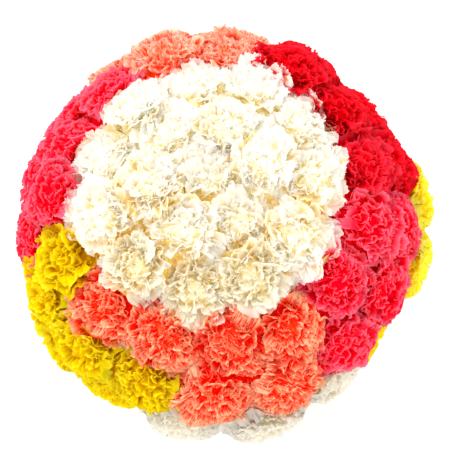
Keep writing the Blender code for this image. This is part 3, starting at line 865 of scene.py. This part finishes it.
class Growth:
    """Collects tubes and blades into one mesh, with their (around, along, kind) values."""

    def __init__(self):
        self.points = []
        self.values = []
        self.faces = []
        self.count = 0

    def sheet(self, points, values, closed):
        """Adds a grid of points, (row, column, 3), whose rows may close on themselves."""
        rows, columns = points.shape[:2]
        number = self.count + np.arange(rows * columns).reshape(rows, columns)
        if closed:
            number = np.concatenate((number, number[:, :1]), axis=1)
        self.faces.append(quads(number))
        self.points.append(points.reshape(-1, 3))
        self.values.append(values.reshape(-1, 3))
        self.count += rows * columns

    def tube(self, path, radii, sides, kind=STEM_KIND):
        """Adds a tube along path. It closes to a point where its radius is 0, and stays above the floor."""
        path = np.array(path)
        ahead = np.gradient(path, axis=0)
        ahead /= np.linalg.norm(ahead, axis=1, keepdims=True)
        side = np.cross(ahead, SIDE_GUIDE)
        side /= np.linalg.norm(side, axis=1, keepdims=True)
        other = np.cross(ahead, side)
        angle = np.linspace(0.0, math.tau, sides, endpoint=False)
        ring = side[:, None] * np.cos(angle)[None, :, None] + other[:, None] * np.sin(angle)[None, :, None]
        points = path[:, None] + ring * np.asarray(radii)[:, None, None]
        points[..., 2] = np.maximum(points[..., 2], 0.0)
        values = np.empty(points.shape)
        values[..., 0] = np.abs(angle / math.pi - 1.0)
        values[..., 1] = (lengths_along(path) / GRAIN_LENGTH)[:, None]
        values[..., 2] = kind
        self.sheet(points, values, True)

    def make(self, name, material):
        points = np.concatenate(self.points)
        faces = np.concatenate(self.faces)
        values = np.concatenate(self.values)
        return mesh_object(name, points, faces, material, "growth", values)


def joint_swell(length, first):
    """The factor that a stem's radius grows by near its joints."""
    offset = (length - first) / JOINT_SPACING
    near = np.abs(offset - np.round(offset)) * JOINT_SPACING
    return 1.0 + JOINT_SWELL * np.exp(-((near / JOINT_LENGTH) ** 2))


def stem_radii(path, draw):
    first = draw.uniform(0.0, JOINT_SPACING)
    return STEM_RADIUS * STEM_SHARE * joint_swell(lengths_along(path), first)


def add_stem(growth, bloom):
    """A stem with its joints, above and below the waist, and its pale cut end."""
    draw = random.Random(4000 + bloom.seed)
    steps = [i / (UPPER_STEPS - 1) for i in range(UPPER_STEPS)]
    path = upper_stem_path(bloom, steps)
    growth.tube(path, stem_radii(path, draw), STEM_SIDES)
    foot = CENTRE + turned(bloom.waist_azimuth + 2 * TWIST, WAIST_RADII[bloom.ring] * FOOT_SPREAD)
    root = waist_point(bloom, WAIST.z - CORE_HEIGHT / 2 + ROOT_DEPTH)
    path = [foot.lerp(root, i / (LOWER_STEPS - 1)) for i in range(LOWER_STEPS)]
    growth.tube(path, stem_radii(path, draw), STEM_SIDES)
    cut = [foot, foot + Vector((0.0, 0.0, CUT_LIFT))]
    growth.tube(cut, [0.0, STEM_RADIUS * CUT_SHARE], STEM_SIDES, CUT_KIND)


def add_calyx(growth, bloom):
    """A ridged tube round the foot of a bloom, with teeth at its edge."""
    foot = bloom.base - bloom.axis * (CALYX_LENGTH + SEAT_GAP)
    side = bloom.axis.orthogonal().normalized()
    other = bloom.axis.cross(side)
    points = []
    values = []
    for share, width in CALYX_PROFILE:
        for k in range(CALYX_SIDES):
            angle = math.tau * k / CALYX_SIDES
            tooth = 0.5 + 0.5 * math.cos(angle * CALYX_TEETH)
            lift = CALYX_TOOTH * tooth * max(0.0, share - CALYX_TEETH_FROM) / CALYX_TEETH_SPAN
            radius = CALYX_RADIUS * width * (1.0 + CALYX_RIDGE * tooth)
            out = side * math.cos(angle) + other * math.sin(angle)
            points.append(foot + bloom.axis * (CALYX_LENGTH * share + lift) + out * radius)
            values.append((k / CALYX_SIDES, share, CALYX_KIND))
    shape = (len(CALYX_PROFILE), CALYX_SIDES, 3)
    growth.sheet(np.array(points).reshape(shape), np.array(values).reshape(shape), True)


def add_leaf(growth, root, rise, away, length, draw):
    """A narrow keeled blade, with a channel along its middle and a slight twist."""

    def midrib(t):
        climb = rise * (0.62 * t - 0.20 * t * t)
        droop = Vector((0.0, 0.0, -0.22 * t**3))
        return root + (climb + away * (0.28 * t + 0.42 * t * t) + droop) * length

    across = away.cross(rise).normalized()
    points = []
    values = []
    twist = draw.uniform(-0.5, 0.5)
    for i in range(LEAF_STEPS):
        t = i / (LEAF_STEPS - 1)
        ahead = (midrib(t + 0.02) - midrib(t)).normalized()
        under = across.cross(ahead).normalized()
        blade = 0.35 + 0.65 * math.sin(math.pi * min(1.0, 0.12 + 0.95 * t)) ** 0.7
        width = LEAF_WIDTH / 2 * blade * (1.0 - t**4 * 0.95)
        for k in range(LEAF_COLUMNS):
            u = 2 * k / (LEAF_COLUMNS - 1) - 1
            sink = LEAF_CHANNEL * u * u + twist * t * u * LEAF_TWIST
            points.append(midrib(t) + across * (width * u) - under * (width * sink))
            values.append((abs(u), t, LEAF_KIND))
    shape = (LEAF_STEPS, LEAF_COLUMNS, 3)
    growth.sheet(np.array(points).reshape(shape), np.array(values).reshape(shape), False)


def add_leaves(growth, blooms):
    """Pairs of leaves on some of the outer stems, as the solids have them."""
    outer = [bloom for bloom in blooms if bloom.ring >= SKIRT_RING - 1]
    for bloom in outer[::LEAF_EVERY]:
        draw = random.Random(2000 + bloom.seed)
        place = draw.uniform(*LEAF_PLACES)
        before, root, after = upper_stem_path(bloom, (place - 0.05, place, place + 0.05))
        rise = (after - before).normalized()
        outward = Vector((root.x - CENTRE.x, root.y - CENTRE.y, 0.0)).normalized()
        sideways = outward.cross(rise).normalized()
        for hand in (-1.0, 1.0):
            turn = math.radians(draw.uniform(*LEAF_TURNS))
            away = sideways * (hand * math.cos(turn)) + outward * math.sin(turn)
            add_leaf(growth, root, rise, away, draw.uniform(*LEAF_LENGTHS), draw)


def make_greenery(blooms):
    growth = Growth()
    for bloom in blooms:
        add_stem(growth, bloom)
        add_calyx(growth, bloom)
    add_leaves(growth, blooms)
    obj = growth.make("stems_and_leaves", stem_material())
    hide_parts("stems")


def make_tie():
    """Five turns of two-ply twine that climb the waist."""
    growth = Growth()
    steps = TWINE_STEPS * TWINE_TURNS
    radius = CORE_RADIUS + TWINE_DIAMETER * TWINE_PLACE
    half = TWINE_DIAMETER * (TWINE_TURNS - 1) / 2
    offset = PLY_PLACE * TWINE_DIAMETER
    for ply in (0.0, math.pi):
        path = []
        for i in range(steps + 1):
            turn = i / steps * TWINE_TURNS
            lay = ply + turn * math.tau * TWINE_LAY
            level = -half + 2 * half * i / steps + offset * math.sin(lay)
            path.append(WAIST + turned(turn * 360.0, radius + offset * math.cos(lay), level))
        growth.tube(path, [TWINE_DIAMETER * PLY_RADIUS] * len(path), PLY_SIDES)
    obj = growth.make("twine", twine_material())
    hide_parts("tie")


# Floor, lights and camera

PHOTO_SIDE = 460  # pixels, of about 1 mm each
PHOTO_CENTRE = (225.4, 229.7)  # the point that the camera aims at
CAMERA_ELEVATION = 76.0
CAMERA_DISTANCE = 2.0
PICTURE_WIDTH = 0.4532  # metres across the frame at that distance
CAMERA_AIM = Vector((0.0, 0.0, 0.30))
CAMERA_REACH = 20.0
SENSOR = 36.0
FLOOR_SIZE = 6.0
FLOOR_LEVEL = -0.2 * MM
FLOOR_COLOUR = (0.93, 0.93, 0.93, 1.0)
SUN_TILT = 48.0  # degrees from straight above
SUN_SIDE = 128.0  # degrees of the side that it comes from
SUN_SIZE = 24.0  # degrees across, for soft shadows
SUN_STRENGTH = 1.45
SKY_STRENGTH = 1.47
SKY_COLOUR = (1.0, 0.982, 0.955, 1.0)
LIGHT_BOUNCES = 14  # light goes far between pale petals


def make_floor():
    bpy.ops.mesh.primitive_plane_add(size=FLOOR_SIZE, location=(0.0, 0.0, FLOOR_LEVEL))
    floor = bpy.context.object
    floor.name = "floor"
    nodes = Nodes("floor")
    principled = nodes.add("ShaderNodeBsdfPrincipled")
    principled.inputs["Base Color"].default_value = FLOOR_COLOUR
    principled.inputs["Roughness"].default_value = 0.9
    floor.data.materials.append(nodes.surface(principled.outputs[0]))


def make_lights():
    """A large soft sun and a bright, slightly warm sky."""
    data = bpy.data.lights.new("sun", "SUN")
    data.energy = SUN_STRENGTH
    data.angle = math.radians(SUN_SIZE)
    sun = bpy.data.objects.new("sun", data)
    tilt = math.radians(SUN_TILT)
    shine = turned(SUN_SIDE, -math.sin(tilt), -math.cos(tilt))
    sun.rotation_euler = shine.to_track_quat("-Z", "Y").to_euler()
    bpy.context.scene.collection.objects.link(sun)
    world = bpy.data.worlds.new("studio")
    world.use_nodes = True
    background = world.node_tree.nodes["Background"]
    background.inputs["Color"].default_value = SKY_COLOUR
    background.inputs["Strength"].default_value = SKY_STRENGTH
    scene = bpy.context.scene
    scene.world = world
    scene.view_settings.view_transform = "Standard"
    scene.cycles.max_bounces = LIGHT_BOUNCES
    scene.cycles.diffuse_bounces = LIGHT_BOUNCES


def make_camera():
    data = bpy.data.cameras.new("camera")
    data.sensor_width = SENSOR
    data.lens = SENSOR * CAMERA_DISTANCE / PICTURE_WIDTH
    data.clip_end = CAMERA_REACH
    data.shift_x = (PHOTO_SIDE / 2 - PHOTO_CENTRE[0]) / PHOTO_SIDE
    data.shift_y = (PHOTO_CENTRE[1] - PHOTO_SIDE / 2) / PHOTO_SIDE
    camera = bpy.data.objects.new("camera", data)
    elevation = math.radians(CAMERA_ELEVATION)
    towards_viewer = Vector((0.0, -math.cos(elevation), math.sin(elevation)))
    camera.location = CAMERA_AIM + CAMERA_DISTANCE * towards_viewer
    camera.rotation_euler = (math.pi / 2 - elevation, 0.0, 0.0)
    bpy.context.scene.collection.objects.link(camera)
    bpy.context.scene.camera = camera


def main():
    blooms = make_bloom_places()
    faces = bloom_faces()
    materials = {name: petal_material(name) for name in PETALS}
    for bloom in blooms:
        make_bloom(bloom, blooms, faces, materials[palette(bloom)])
    make_greenery(blooms)
    make_tie()
    make_floor()
    make_lights()
    make_camera()


main()
